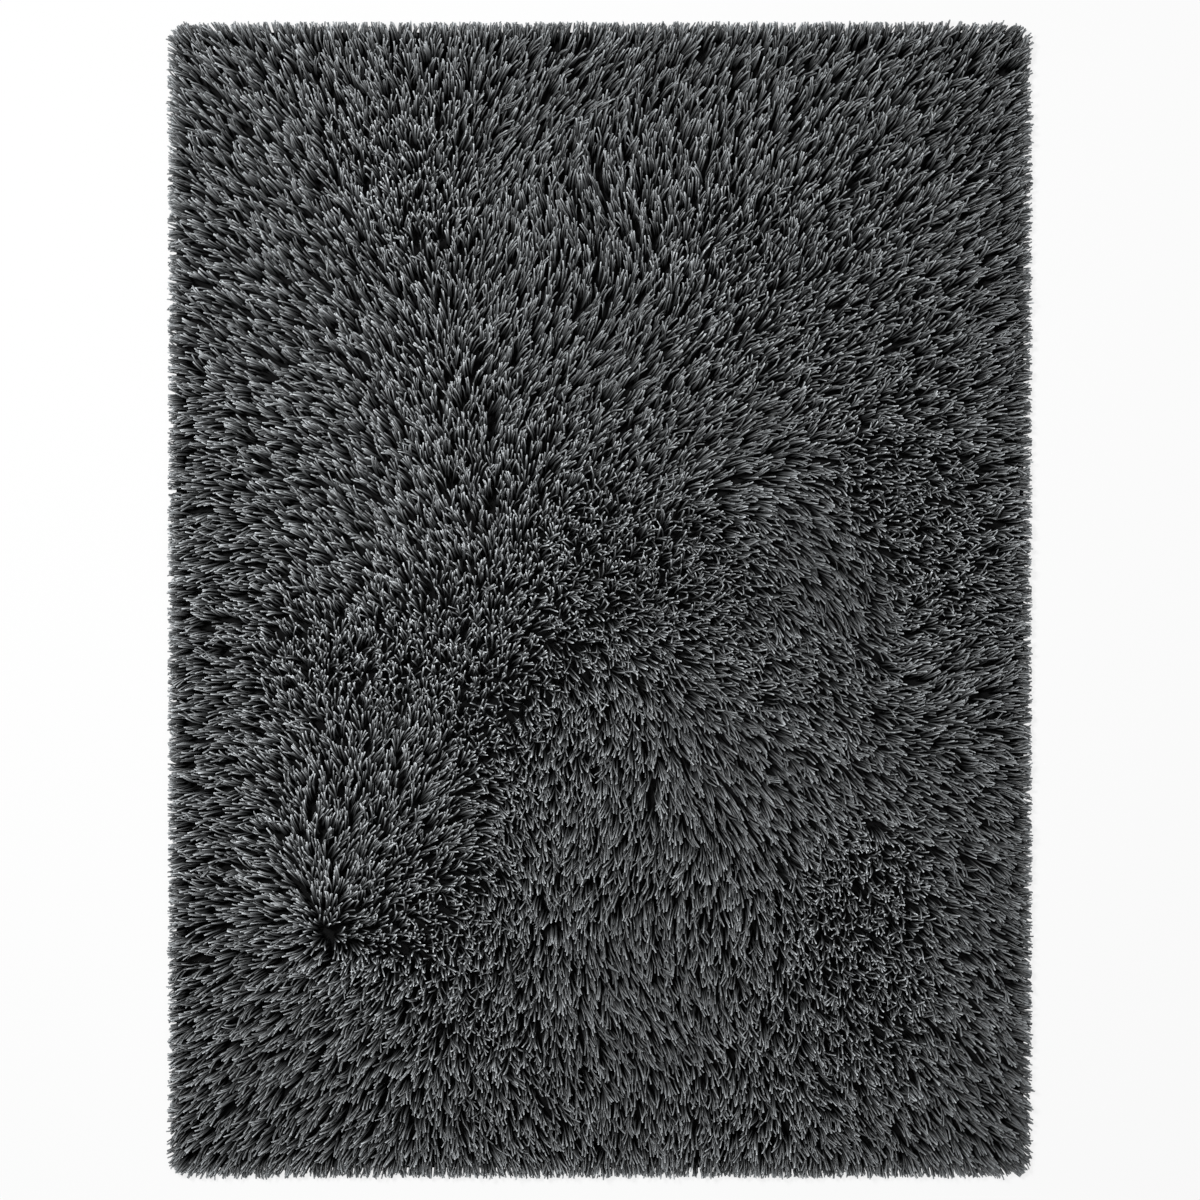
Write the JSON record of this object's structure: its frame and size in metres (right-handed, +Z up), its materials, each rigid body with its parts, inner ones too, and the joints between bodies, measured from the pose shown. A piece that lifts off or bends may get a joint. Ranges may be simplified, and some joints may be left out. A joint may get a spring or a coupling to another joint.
{
  "type": "shag rug",
  "caption": "Rectangular shag rug: a flat tufted backing under deep charcoal pile, combed in sweeping swirls, with free yarn locks along its rim.",
  "frame": {"origin": "on the floor under the middle of the rug, at the bottom centre of its box", "axes": "+X across the rug's width, +Y along its length, +Z up out of the pile"},
  "size_m": [1.2, 1.6, 0.0467],
  "materials": {
    "pile_yarn": "soft charcoal grey polyester yarn, deep combed pile, slight silky sheen"
  },
  "bodies": {
    "root": {"shag_rug": "pile_yarn"}
  },
  "joints": []
}
